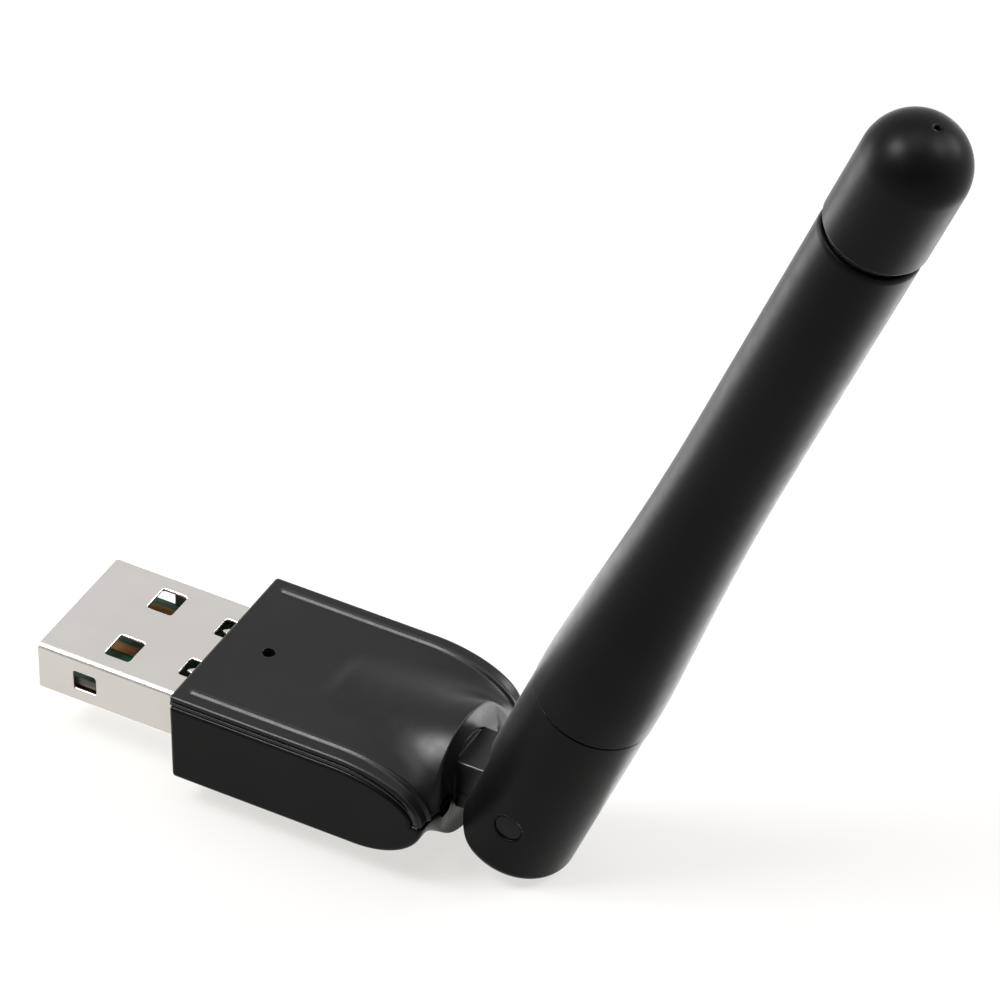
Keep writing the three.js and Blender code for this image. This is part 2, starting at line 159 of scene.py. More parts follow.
def capsule_chain(p, points, radius):
    """A tube along straight runs between the points."""
    runs = []
    for start, end in zip(points, points[1:]):
        axis = np.subtract(end, start)
        t = sum((v - s) * a for v, s, a in zip(p, start, axis)) / (axis @ axis)
        t = np.clip(t, 0, 1)
        runs.append(np.sqrt(sum((v - s - t * a) ** 2 for v, s, a in zip(p, start, axis))) - radius)
    return any_of(*runs)


# ---- Meshing --------------------------------------------------------------------------------
def graded(start, *stretches):
    """Grid lines from start on: each stretch is (end, step)."""
    lines = [start]
    for end, step in stretches:
        count = max(1, round((end - lines[-1]) / (step * FINE)))
        lines.extend(np.linspace(lines[-1], end, count + 1)[1:])
    return np.array(lines)


def slope_of(field, points):
    """The field's gradient at each point."""
    reach = 0.004
    slope = np.empty_like(points)
    for axis in range(3):
        shift = np.zeros(3)
        shift[axis] = reach
        slope[:, axis] = field(*(points + shift).T) - field(*(points - shift).T)
    return slope / (2 * reach)


def settle(field, points, most):
    """Moves each point onto the surface."""
    for _ in range(5):
        slope = slope_of(field, points)
        step = -(field(*points.T) / np.maximum((slope**2).sum(1), 0.05))[:, None] * slope
        length = np.linalg.norm(step, axis=1, keepdims=True)
        points = points + step * np.minimum(1, most / np.maximum(length, 1e-9))
    return points


def surface_net(field, axes):
    """Points and four-sided faces of the field's zero surface, one point in each cell that it crosses."""
    value = field(axes[0][:, None, None], axes[1][None, :, None], axes[2][None, None, :])
    cells = tuple(n - 1 for n in value.shape)
    total = np.zeros(cells + (3,))
    count = np.zeros(cells)
    crossings = []
    for axis in range(3):
        head = [slice(None)] * 3
        tail = [slice(None)] * 3
        head[axis] = slice(0, -1)
        tail[axis] = slice(1, None)
        a, b = value[tuple(head)], value[tuple(tail)]
        crossed = (a < 0) != (b < 0)
        crossings.append((crossed, a < 0))
        share = np.where(crossed, a / np.where(crossed, a - b, 1), 0)
        others = [k for k in range(3) if k != axis]
        for da in (0, 1):
            for db in (0, 1):
                pick = [slice(None)] * 3
                pick[others[0]] = slice(da, da + cells[others[0]])
                pick[others[1]] = slice(db, db + cells[others[1]])
                pick = tuple(pick)
                hit = crossed[pick]
                count += hit
                for k in range(3):
                    line = axes[k]
                    shape = [1, 1, 1]
                    shape[k] = -1
                    if k == axis:
                        at = line[:-1].reshape(shape) + share[pick] * np.diff(line).reshape(shape)
                    else:
                        offset = da if k == others[0] else db
                        at = line[offset:offset + cells[k]].reshape(shape)
                    total[..., k] += hit * at
    used = count > 0
    index = np.full(cells, -1)
    index[used] = np.arange(used.sum())
    points = total[used] / count[used][:, None]
    faces = []
    for axis, (crossed, inside) in enumerate(crossings):
        b, c = (axis + 1) % 3, (axis + 2) % 3
        where = np.argwhere(crossed)
        for other in (b, c):
            where = where[(where[:, other] > 0) & (where[:, other] < cells[other])]
        corners = []
        for db, dc in ((1, 1), (0, 1), (0, 0), (1, 0)):
            cell = where.copy()
            cell[:, b] -= db
            cell[:, c] -= dc
            corners.append(index[tuple(cell.T)])
        quads = np.stack(corners, 1)
        outward = inside[tuple(where.T)]
        faces.append(np.where(outward[:, None], quads, quads[:, ::-1]))
    return points, np.concatenate(faces)


def moulded(name, field, axes, place=None):
    """A smooth mesh of the field, with normals taken from the field."""
    points, faces = surface_net(field, axes)
    cell = min(np.diff(line).min() for line in axes)
    points = settle(field, points, cell)
    normals = slope_of(field, points)
    normals /= np.linalg.norm(normals, axis=1, keepdims=True) + 1e-12
    mesh = bpy.data.meshes.new(name)
    mesh.from_pydata((points * MM).tolist(), [], faces.tolist())
    mesh.shade_smooth()
    mesh.normals_split_custom_set_from_vertices(normals.tolist())
    if place is not None:
        mesh.transform(place)
        turn = np.array(place.to_3x3())
        mesh.normals_split_custom_set_from_vertices((normals @ turn.T).tolist())
    return mesh


def filleted(corners):
    """A path of [station, radius, fillet] corners with each corner turned into an arc."""
    steps = 4
    path = []
    for before, here, after in zip([corners[0]] + corners[:-1], corners, corners[1:] + [corners[-1]]):
        corner = Vector(here[:2])
        if here[2] == 0:
            path.append(tuple(corner))
            continue
        back = (Vector(before[:2]) - corner).normalized() * here[2]
        ahead = (Vector(after[:2]) - corner).normalized() * here[2]
        for i in range(steps + 1):
            t = i / steps
            path.append(tuple(corner + back * (1 - t) ** 2 + ahead * t**2))
    return path


def lathed(name, path, place, segments, closed=False):
    """A path of (station, radius) turned about local Z. An open path starts and ends on the axis."""
    verts, rings = [], []
    for station, radius in path:
        if radius < 1e-6:
            rings.append([len(verts)])
            verts.append((0, 0, station))
            continue
        rings.append(list(range(len(verts), len(verts) + segments)))
        for i in range(segments):
            angle = 2 * math.pi * i / segments
            verts.append((radius * math.cos(angle), radius * math.sin(angle), station))
    faces = []
    pairs = list(zip(rings, rings[1:])) + ([(rings[-1], rings[0])] if closed else [])
    for low, high in pairs:
        for i in range(segments):
            j = (i + 1) % segments
            ring = [low[i % len(low)], low[j % len(low)], high[j % len(high)], high[i % len(high)]]
            faces.append(list(dict.fromkeys(ring)))
    mesh = bpy.data.meshes.new(name)
    mesh.from_pydata([[c * MM for c in v] for v in verts], [], faces)
    mesh.transform(place)
    tidy_normals(mesh)
    mesh.shade_smooth()
    return mesh


def tidy_normals(mesh):
    bm = bmesh.new()
    bm.from_mesh(mesh)
    bmesh.ops.recalc_face_normals(bm, faces=bm.faces)
    bm.to_mesh(mesh)
    bm.free()


def add_block(bm, low, high, bevel, finish=0):
    """A block with rounded edges, added to a mesh that is being built."""
    size = Vector(high) - Vector(low)
    place = Matrix.Translation((Vector(high) + Vector(low)) / 2) @ Matrix.Diagonal(size).to_4x4()
    made = bmesh.ops.create_cube(bm, size=1, matrix=place)
    edges = list({e for v in made["verts"] for e in v.link_edges})
    faces = {f for v in made["verts"] for f in v.link_faces}
    softened = bmesh.ops.bevel(bm, geom=edges, offset=bevel, segments=2, affect="EDGES", profile=0.6)
    for face in faces.union(softened["faces"]):
        if face.is_valid:
            face.material_index = finish


def add_plate(bm, outline, low, high, finish=0):
    """An outline of (x, y) points made into a plate between two heights."""
    bottom = [bm.verts.new((x, y, low)) for x, y in outline]
    top = [bm.verts.new((x, y, high)) for x, y in outline]
    faces = [bm.faces.new(top), bm.faces.new(bottom[::-1])]
    for i, vert in enumerate(bottom):
        j = (i + 1) % len(bottom)
        faces.append(bm.faces.new((vert, bottom[j], top[j], top[i])))
    for face in faces:
        face.material_index = finish
    return faces


def finished(name, bm):
    """The mesh that was being built, in metres."""
    bmesh.ops.recalc_face_normals(bm, faces=bm.faces)
    mesh = bpy.data.meshes.new(name)
    bmesh.ops.scale(bm, vec=(MM, MM, MM), verts=bm.verts)
    bm.to_mesh(mesh)
    bm.free()
    mesh.shade_smooth()
    return mesh


def add_piece(mesh, nodes, body, slot, *materials, weighted=False):
    """Puts a mesh in the scene as a piece that rides on a body and stands for CAD nodes."""
    piece = bpy.data.objects.new(mesh.name, mesh)
    bpy.context.scene.collection.objects.link(piece)
    for material in materials:
        mesh.materials.append(material)
    if weighted:
        modifier = piece.modifiers.new("weighted_normals", "WEIGHTED_NORMAL")
        modifier.weight = 100
    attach(piece, body)
    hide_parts(*nodes)
    return piece


# ---- Materials ------------------------------------------------------------------------------
class Surface:
    """A Principled material, with helpers that add procedural detail to it."""

    def __init__(self, name, color, roughness, metallic=0.0, specular=0.5):
        self.material = bpy.data.materials.new(name)
        self.material.use_nodes = True
        self.nodes = self.material.node_tree.nodes
        self.links = self.material.node_tree.links
        self.shader = self.nodes["Principled BSDF"]
        self.set("Base Color", (*color, 1))
        self.set("Roughness", roughness)
        self.set("Metallic", metallic)
        self.set("Specular IOR Level", specular)

    def set(self, socket, value):
        self.shader.inputs[socket].default_value = value

    def noise(self, scale, detail=3.0, stretch=(1, 1, 1)):
        """Noise from 0 to 1 in the piece's own metres, scale features to the metre."""
        coordinates = self.nodes.new("ShaderNodeTexCoord")
        mapping = self.nodes.new("ShaderNodeMapping")
        mapping.inputs["Scale"].default_value = stretch
        texture = self.nodes.new("ShaderNodeTexNoise")
        texture.inputs["Scale"].default_value = scale
        texture.inputs["Detail"].default_value = detail
        self.links.new(coordinates.outputs["Object"], mapping.inputs["Vector"])
        self.links.new(mapping.outputs["Vector"], texture.inputs["Vector"])
        return texture.outputs["Fac"]

    def ramp(self, source, low, high, start=0.3, end=0.7):
        """The source stretched from start..end to low..high."""
        node = self.nodes.new("ShaderNodeMapRange")
        for socket, value in (("From Min", start), ("From Max", end), ("To Min", low), ("To Max", high)):
            node.inputs[socket].default_value = value
        self.links.new(source, node.inputs["Value"])
        return node.outputs["Result"]

    def vary_color(self, source, a, b, start=0.3, end=0.7):
        node = self.nodes.new("ShaderNodeMix")
        node.data_type = "RGBA"
        node.inputs["A"].default_value = (*a, 1)
        node.inputs["B"].default_value = (*b, 1)
        self.links.new(self.ramp(source, 0, 1, start, end), node.inputs["Factor"])
        self.links.new(node.outputs["Result"], self.shader.inputs["Base Color"])
        return self

    def vary_roughness(self, source, low, high):
        self.links.new(self.ramp(source, low, high), self.shader.inputs["Roughness"])
        return self

    def bump(self, source, depth_mm, strength):
        node = self.nodes.new("ShaderNodeBump")
        node.inputs["Strength"].default_value = strength
        node.inputs["Distance"].default_value = depth_mm * MM
        self.links.new(source, node.inputs["Height"])
        self.links.new(node.outputs["Normal"], self.shader.inputs["Normal"])
        return self


def moulded_abs(name, specular):
    """Charcoal plastic, with a fine spark texture and slightly uneven gloss."""
    surface = Surface(name, (0.004, 0.004, 0.004), 0.34, specular=specular)
    surface.vary_color(surface.noise(140), (0.0032, 0.0032, 0.0032), (0.0048, 0.0048, 0.0047))
    surface.vary_roughness(surface.noise(1100, 5), 0.31, 0.38)
    surface.bump(surface.noise(6500, 4), 0.006, 0.35)
    return surface.material


def shaded_case_plastic():
    """The tub's plastic: a darker charcoal than the cover's, and duller; the darker colour is painted shade
    on the tub's side wall, not a different plastic.
    """
    # painted shade: these base colours are darker than the cover's so that the side wall shows as shaded
    surface = Surface("shaded_case_plastic", (0.0015, 0.0015, 0.0015), 0.31, specular=0.09)
    surface.vary_color(surface.noise(140), (0.001, 0.001, 0.001), (0.002, 0.002, 0.002))
    surface.vary_roughness(surface.noise(900, 5), 0.28, 0.35)
    surface.bump(surface.noise(6500, 4), 0.006, 0.35)
    return surface.material


def satin_plastic(name, specular):
    """A blacker, satin plastic than the housing's."""
    surface = Surface(name, (0.0015, 0.0015, 0.0015), 0.38, specular=specular)
    surface.vary_color(surface.noise(120), (0.001, 0.001, 0.001), (0.002, 0.002, 0.002))
    surface.vary_roughness(surface.noise(800, 5), 0.35, 0.42)
    surface.set("Sheen Weight", 0.3)
    surface.set("Sheen Roughness", 0.25)
    surface.bump(surface.noise(5200, 4), 0.005, 0.3)
    return surface.material


def nickel():
    """Nickel plate over folded steel: warm, with faint rolling marks along the plug."""
    surface = Surface("nickel_plate", (0.60, 0.575, 0.54), 0.3, metallic=1.0)
    marks = surface.noise(2500, 6, (0.06, 1, 1))
    surface.vary_color(surface.noise(180), (0.585, 0.56, 0.525), (0.615, 0.59, 0.555))
    surface.vary_roughness(marks, 0.28, 0.32)
    surface.bump(marks, 0.001, 0.04)
    return surface.material


def blackened_steel():
    surface = Surface("blackened_steel", (0.004, 0.004, 0.004), 0.42, specular=0.1)
    surface.vary_color(surface.noise(900), (0.003, 0.003, 0.003), (0.0055, 0.0055, 0.0055))
    surface.vary_roughness(surface.noise(3000, 5), 0.36, 0.5)
    surface.bump(surface.noise(5000), 0.003, 0.3)
    return surface.material


def shaded_solder_mask():
    """Green mask over the board's copper, which shows through as lighter patches. The mask's darker green is
    painted shade from inside the plug.
    """
    surface = Surface("shaded_solder_mask", (0.006, 0.06, 0.03), 0.4, specular=0.25)
    copper = surface.noise(700, 1, (1, 2.5, 1))
    # painted shade: the darker green is the mask as seen in shade through the plug's windows
    surface.vary_color(copper, (0.003, 0.03, 0.015), (0.006, 0.06, 0.03), 0.46, 0.54)
    surface.vary_roughness(surface.noise(2500), 0.34, 0.46)
    surface.bump(copper, 0.01, 0.4)
    return surface.material


def bare_laminate():
    """The board's cut edge: glass cloth in layers."""
    surface = Surface("bare_laminate", (0.06, 0.052, 0.033), 0.7)
    layers = surface.noise(1500, 4, (0.3, 0.3, 6))
    surface.vary_color(layers, (0.033, 0.028, 0.017), (0.10, 0.09, 0.06))
    surface.bump(layers, 0.01, 0.5)
    return surface.material


def shaded_gold_plate():
    """Gold plate, worn along the way that it wipes; its colours are darkened to a brown that is painted shade
    from inside the plug.
    """
    surface = Surface("shaded_gold_plate", (0.27, 0.15, 0.06), 0.38, metallic=1.0)
    wiped = surface.noise(3000, 4, (0.1, 1, 1))
    # painted shade: both golds are darkened to the brown the fingers show in the plug's shade; the wiped
    # noise between them is wear
    surface.vary_color(wiped, (0.21, 0.115, 0.045), (0.33, 0.19, 0.075))
    surface.vary_roughness(wiped, 0.28, 0.45)
    surface.bump(wiped, 0.002, 0.3)
    return surface.material


def solder():
    surface = Surface("tinned_ends", (0.62, 0.62, 0.63), 0.35, metallic=1.0)
    surface.vary_color(surface.noise(1500), (0.52, 0.52, 0.54), (0.70, 0.70, 0.70))
    surface.vary_roughness(surface.noise(2500, 4), 0.25, 0.5)
    surface.bump(surface.noise(3500), 0.01, 0.4)
    return surface.material


def epoxy():
    surface = Surface("moulding_compound", (0.016, 0.016, 0.018), 0.55)
    surface.vary_color(surface.noise(900), (0.012, 0.012, 0.014), (0.022, 0.022, 0.024))
    surface.vary_roughness(surface.noise(2500), 0.48, 0.62)
    surface.bump(surface.noise(8000, 4), 0.006, 0.5)
    return surface.material


def ferrite():
    surface = Surface("ferrite", (0.035, 0.033, 0.032), 0.65)
    surface.vary_color(surface.noise(1600), (0.025, 0.024, 0.023), (0.05, 0.047, 0.045))
    surface.bump(surface.noise(7000, 5), 0.01, 0.6)
    return surface.material


def ceramic():
    surface = Surface("fired_ceramic", (0.32, 0.21, 0.12), 0.5)
    surface.vary_color(surface.noise(1200), (0.26, 0.17, 0.09), (0.38, 0.26, 0.15))
    surface.vary_roughness(surface.noise(4000), 0.4, 0.6)
    surface.bump(surface.noise(6000), 0.005, 0.4)
    return surface.material


def drawn_can():
    surface = Surface("drawn_can", (0.60, 0.60, 0.62), 0.28, metallic=1.0)
    brushed = surface.noise(4000, 5, (0.08, 1, 1))
    surface.vary_color(brushed, (0.54, 0.54, 0.56), (0.66, 0.66, 0.68))
    surface.vary_roughness(brushed, 0.22, 0.4)
    surface.bump(brushed, 0.002, 0.3)
    return surface.material


def clear_lens():
    """A pale lens under a clear coat."""
    surface = Surface("clear_lens", (0.72, 0.78, 0.70), 0.15)
    surface.vary_color(surface.noise(1300), (0.66, 0.72, 0.60), (0.78, 0.84, 0.78))
    surface.vary_roughness(surface.noise(3000), 0.1, 0.22)
    surface.set("Coat Weight", 0.6)
    return surface.material


def cable_jacket():
    surface = Surface("cable_jacket", (0.015, 0.015, 0.016), 0.5)
    surface.vary_color(surface.noise(600), (0.011, 0.011, 0.012), (0.021, 0.021, 0.022))
    surface.vary_roughness(surface.noise(2000), 0.42, 0.6)
    surface.bump(surface.noise(4500), 0.006, 0.4)
    return surface.material


def drawn_brass():
    surface = Surface("drawn_brass", (0.55, 0.38, 0.14), 0.32, metallic=1.0)
    drawn = surface.noise(2500, 5, (1, 1, 0.08))
    surface.vary_color(drawn, (0.46, 0.31, 0.11), (0.62, 0.45, 0.18))
    surface.vary_roughness(drawn, 0.26, 0.42)
    surface.bump(drawn, 0.003, 0.3)
    return surface.material


HOUSING = moulded_abs("housing_plastic", 0.22)
NECK = moulded_abs("neck_plastic", 0.36)
# the tub's plastic is a darker copy of the housing's: painted shade on its side wall
SHADED_CASE = shaded_case_plastic()
ANTENNA = satin_plastic("antenna_plastic", 0.06)
CAP = satin_plastic("cap_plastic", 0.075)
NICKEL = nickel()
PIN_STEEL = blackened_steel()
SHADED_MASK = shaded_solder_mask()
LAMINATE = bare_laminate()
SHADED_GOLD = shaded_gold_plate()
SOLDER = solder()
EPOXY = epoxy()
FERRITE = ferrite()
CERAMIC = ceramic()
CAN = drawn_can()
LENS = clear_lens()
JACKET = cable_jacket()
BRASS = drawn_brass()


# ---- Plug -----------------------------------------------------------------------------------
def plug_section(y, z, inset=0.0):
    """The plug's rounded rectangle in end view."""
    corner = PLUG_CORNER - inset
    return rounded(corner, np.abs(y) - PLUG_WIDTH / 2 + inset, np.abs(z) - PLUG_HEIGHT / 2 + inset)


def plug_shell(x, y, z):
    """Folded sheet: windows and lances top and bottom, a window in each side, a seam below."""
    corner, edge = 0.22, 0.14
    tube = all_of(plug_section(y, z), -plug_section(y, z, PLUG_WALL))
    tube = rounded(edge, tube, -PLUG_LENGTH - x, x - PLUG_INSIDE)
    across = np.abs(y)
    windows, lances = (
        rounded(corner, np.abs(x - o["x"]) - o["length"] / 2, np.abs(across - o["y"]) - o["width"] / 2)
        for o in (WINDOW, LANCE)
    )
    flat_faces = PLUG_HEIGHT / 2 - 2 * PLUG_WALL - np.abs(z)
    holes = all_of(any_of(windows, lances), flat_faces)
    along = np.abs(x - SIDE_WINDOW["x"]) - SIDE_WINDOW["length"] / 2
    side_windows = rounded(corner, along, np.abs(z) - SIDE_WINDOW["height"] / 2)
    side_ways = all_of(side_windows, PLUG_WIDTH / 2 - 2 * PLUG_WALL - across)
    sheet = rounded(edge, tube, -holes, -side_ways)
    return any_of(all_of(sheet, -plug_seam(x, y, z)), lance_tabs(x, y, z))


def plug_seam(x, y, z):
    """The butt seam along the underside, with two teeth that lock it."""
    reach, half_length, flank = 0.9, 1.15, 0.35
    half_gap, depth = 0.035, 0.12
    tooth = 0.0
    for centre in (-9.6, -3.9):
        tooth = tooth + reach * ease((half_length - np.abs(x - centre)) / flank)
    gap = np.abs(y - tooth) - half_gap
    return all_of(gap, z + PLUG_HEIGHT / 2 - depth)


def lance_tabs(x, y, z):
    """Pointed tabs that hang from the rear edge of each lance opening and slope into the plug."""
    root_half_width, narrowing, fall, length, overlap = 0.62, 0.42, 0.24, 1.25, 0.2
    fall_scale, narrowing_scale = 0.98, 0.92  # they turn the sloping fields back into distances
    rear = LANCE["x"] + LANCE["length"] / 2
    reach = rear - x
    ahead = np.clip(reach, 0, 2)
    middle = PLUG_HEIGHT / 2 - PLUG_WALL / 2 - fall * ahead
    sheet = (np.abs(np.abs(z) - middle) - PLUG_WALL / 2) * fall_scale
    taper = np.abs(np.abs(y) - LANCE["y"]) - (root_half_width - narrowing * ahead)
    return rounded(0.05, sheet, taper * narrowing_scale, -overlap - reach, reach - length)


plug_axes = (
    graded(-13.3, (3.2, 0.1)),
    graded(-6.2, (-5.4, 0.07), (-0.15, 0.11), (0.15, 0.03), (5.4, 0.11), (6.2, 0.07)),
    graded(-2.45, (-1.6, 0.07), (1.6, 0.16), (2.45, 0.07)),
)
add_piece(moulded("plug_sheet", plug_shell, plug_axes), ["plug_shell"], "housing", "nickel_steel", NICKEL)


# ---- Board and its contacts -----------------------------------------------------------------
def node_box(node):
    low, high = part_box(node)
    return low / MM, high / MM


def board_mesh():
    """The board with its plug tongue, mask on both faces, and a row of tinned pads along each side."""
    nose, chamfer = 0.6, 0.5
    edge = [
        (BOARD_TIP, TONGUE_HALF_WIDTH - nose),
        (BOARD_TIP + nose, TONGUE_HALF_WIDTH),
        (BOARD_SHOULDER, TONGUE_HALF_WIDTH),
        (BOARD_SHOULDER, BOARD_HALF_WIDTH - chamfer),
        (BOARD_SHOULDER + chamfer, BOARD_HALF_WIDTH),
        (BOARD_END - chamfer, BOARD_HALF_WIDTH),
        (BOARD_END, BOARD_HALF_WIDTH - chamfer),
    ]
    outline = [(x, -y) for x, y in edge] + edge[::-1]
    bm = bmesh.new()
    faces = add_plate(bm, outline, -BOARD_THICKNESS, -0.03, 1)
    faces[0].material_index = 0
    faces[1].material_index = 0
    pads, first_x, row_y, half = 11, 4.6, 6.2, 0.2
    for i in range(pads):
        for side in (-1, 1):
            x, y = first_x + i, side * row_y
            add_block(bm, (x - half, y - half, -0.04), (x + half, y + half, -0.005), 0.01, 2)
    return finished("board", bm)


def finger_mesh(name, node):
    """A contact finger with a rounded tip, inside its CAD node's box."""
    low, high = node_box(node)
    radius = min(0.5, (high.y - low.y) / 2)
    outline = []
    for centre_y, first in ((low.y + radius, -90), (high.y - radius, 180)):
        for i in range(7):
            angle = math.radians(first - 15 * i)
            outline.append((low.x + radius + radius * math.cos(angle), centre_y + radius * math.sin(angle)))
    outline += [(high.x, high.y), (high.x, low.y)]
    bm = bmesh.new()
    faces = add_plate(bm, outline, low.z - 0.02, high.z)
    bmesh.ops.bevel(bm, geom=list(faces[0].edges), offset=0.02, segments=2, affect="EDGES")
    return finished(name, bm)


add_piece(board_mesh(), ["main_board"], "housing", "board_green", SHADED_MASK, LAMINATE, SOLDER, weighted=True)
for contact in ("power", "data_minus", "data_plus", "ground"):
    node = "contact_" + contact
    add_piece(finger_mesh("finger_" + contact, node), [node], "housing", "contact_gold", SHADED_GOLD, weighted=True)


# ---- Board components -----------------------------------------------------------------------
def chip_mesh(name, node):
    """A leadless chip: moulded body, side pads all round, and a pin-one dimple."""
    low, high = node_box(node)
    bm = bmesh.new()
    inset = 0.03
    body_low = (low.x + inset, low.y + inset, low.z + 0.05)
    body_high = (high.x - inset, high.y - inset, high.z)
    add_block(bm, body_low, body_high, 0.06)
    count, pad = 8, 0.13
    for i in range(count):
        t = (i + 1) / (count + 1)
        x = low.x + t * (high.x - low.x)
        y = low.y + t * (high.y - low.y)
        for edge_y, inner_y in ((low.y, low.y + 0.3), (high.y, high.y - 0.3)):
            ends = sorted((edge_y, inner_y))
            add_block(bm, (x - pad, ends[0], low.z), (x + pad, ends[1], low.z + 0.2), 0.02, 1)
        for edge_x, inner_x in ((low.x, low.x + 0.3), (high.x, high.x - 0.3)):
            ends = sorted((edge_x, inner_x))
            add_block(bm, (ends[0], y - pad, low.z), (ends[1], y + pad, low.z + 0.2), 0.02, 1)
    dot = Vector((low.x + 0.6, low.y + 0.6, high.z - 0.001))
    place = Matrix.Translation(dot)
    ring = bmesh.ops.create_circle(bm, cap_ends=True, segments=20, radius=0.2, matrix=place)
    for vert in ring["verts"]:
        vert.co.z += 0.0005
    return finished(name, bm)


def two_ended_mesh(name, node, cap_share=0.24):
    """A chip capacitor, inductor or coil: a body between two wrapped metal ends."""
    low, high = node_box(node)
    cap = (high.x - low.x) * cap_share
    shrink = 0.03
    bm = bmesh.new()
    body_low = (low.x + 0.05, low.y + shrink, low.z + shrink)
    body_high = (high.x - 0.05, high.y - shrink, high.z - shrink)
    add_block(bm, body_low, body_high, 0.05)
    add_block(bm, low, (low.x + cap, high.y, high.z), 0.07, 1)
    add_block(bm, (high.x - cap, low.y, low.z), high, 0.07, 1)
    return finished(name, bm)


def regulator_mesh(name, node):
    """A small-outline regulator: body on gull-wing legs, three on one side and two on the other."""
    low, high = node_box(node)
    bm = bmesh.new()
    add_block(bm, (low.x, low.y + 0.3, low.z + 0.12), (high.x, high.y - 0.3, high.z), 0.08)
    width, foot = 0.2, 0.14
    for count, inner, outer in ((3, low.y + 0.32, low.y), (2, high.y - 0.32, high.y)):
        for i in range(count):
            x = low.x + (high.x - low.x) * (i + 0.5) / count
            near, far = sorted((inner, outer))
            add_block(bm, (x - width, near, low.z), (x + width, far, low.z + foot), 0.03, 1)
            rise = sorted((inner, inner + 0.45 * (outer - inner)))
            add_block(bm, (x - width, rise[0], low.z), (x + width, rise[1], low.z + 0.55), 0.03, 1)
    return finished(name, bm)


def crystal_mesh(name, node):
    """A crystal: a drawn metal lid on a ceramic base."""
    low, high = node_box(node)
    bm = bmesh.new()
    add_block(bm, low, (high.x, high.y, low.z + 0.3), 0.05, 1)
    rim = 0.12
    add_block(bm, (low.x + rim, low.y + rim, low.z + 0.28), (high.x - rim, high.y - rim, high.z), 0.1)
    return finished(name, bm)


def led_mesh(name, node):
    """An indicator: two metal ends, a pale base and a domed lens."""
    low, high = node_box(node)
    bm = bmesh.new()
    add_block(bm, (low.x + 0.25, low.y + 0.05, low.z + 0.15), (high.x - 0.25, high.y - 0.05, high.z), 0.14)
    add_block(bm, (low.x + 0.05, low.y, low.z), (high.x - 0.05, high.y, low.z + 0.22), 0.04, 2)
    add_block(bm, low, (low.x + 0.3, high.y, low.z + 0.24), 0.04, 1)
    add_block(bm, (high.x - 0.3, low.y, low.z), (high.x, high.y, low.z + 0.24), 0.04, 1)
    return finished(name, bm)


def add_component(mesh, node, slot, *materials):
    add_piece(mesh, [node], "housing", slot, *materials, weighted=True)


add_component(chip_mesh("radio_chip", "wifi_chip"), "wifi_chip", "chip_black", EPOXY, SOLDER)
add_component(crystal_mesh("crystal_unit", "crystal"), "crystal", "crystal_can", CAN, CERAMIC)
regulator = regulator_mesh("regulator", "voltage_regulator")
add_component(regulator, "voltage_regulator", "chip_black", EPOXY, SOLDER)
choke = two_ended_mesh("choke", "power_inductor", 0.16)
add_component(choke, "power_inductor", "chip_black", FERRITE, SOLDER)
add_component(led_mesh("indicator", "status_led"), "status_led", "led_lens", LENS, SOLDER, CERAMIC)
for name, node in (
    ("input_capacitor", "capacitor_input"),
    ("core_capacitor", "capacitor_core"),
    ("crystal_capacitor", "capacitor_crystal"),
    ("antenna_matching_coil", "matching_inductor"),
):
    add_component(two_ended_mesh(name, node), node, "ceramic_tan", CERAMIC, SOLDER)


# ---- Housing --------------------------------------------------------------------------------
def side_outline(x, z):
    """How far outside the housing's side view a point is, leaving out the front face."""
    flat = np.abs(z) - BODY_HALF_HEIGHT
    top_start, bottom_start = BODY_END - NOSE_TOP, BODY_END - NOSE_BOTTOM
    top = np.where(x > top_start, ellipse(x - top_start, z, NOSE_TOP, BODY_HALF_HEIGHT), flat)
    bottom = np.where(x > bottom_start, ellipse(x - bottom_start, z, NOSE_BOTTOM, BODY_HALF_HEIGHT), flat)
    return np.where(z > 0, top, bottom)


def above_parting(x, z):
    """Height above the parting surface: flat over the body, then dropping to the swivel axis."""
    dropping = ellipse(x - PARTING_X, z, PARTING_RUN, COVER_Z)
    return np.minimum(np.where(x > PARTING_X, dropping, z - COVER_Z), z)


def barrel(x, y, z):
    t = ease((x - BARREL_START) / (BARREL_END - BARREL_START))
    radius = BARREL_ROOT + t * (BARREL_RADIUS - BARREL_ROOT)
    return rounded(0.22, np.hypot(y, z + BARREL_DROP) - radius, BARREL_START - x, x - BARREL_END)


def housing(x, y, z):
    """The whole housing, solid."""
    body = rounded(EDGE, side_outline(x, z), np.abs(y) - BODY_HALF_WIDTH, -x)
    ahead = all_of(BARREL_END - x, np.abs(y) - FACE_HALF_WIDTH)
    shoulders = rounded(0.15, body, -ahead)
    return blended(BARREL_FILLET, shoulders, barrel(x, y, z))


def housing_room(x, y, z):
    """The room inside both halves: board bay, flange pocket and the barrel's mouth."""
    p = (x, y, z)
    side, floor = BODY_HALF_WIDTH - WALL, WALL - BODY_HALF_HEIGHT
    return any_of(
        block(p, (WALL, -side, floor), (BAY_END, side, COVER_Z)),
        rod_x(p, BAY_END - 0.5, POCKET_START + 0.1, MOUTH_RADIUS),
        rod_x(p, POCKET_START, POCKET_END, POCKET_RADIUS),
        rod_x(p, POCKET_END - 0.1, BARREL_END + 1, MOUTH_RADIUS),
    )


def beads(x, y, z):
    """A ridge with sloping sides near each long edge, with a rounded front end."""
    slope = math.radians(BEAD["slope_deg"])
    half_width = BEAD["height"] / math.tan(slope)
    crest = 0.04  # its rounding
    ahead = np.maximum(BEAD["start"] + half_width - x, 0)
    across = np.hypot(np.hypot(np.abs(y) - BEAD["y"], ahead), crest)
    outline = side_outline(x, z)
    ridge = across * math.sin(slope) + (outline - BEAD["height"]) * math.cos(slope)
    return all_of(ridge, -outline - 0.4)


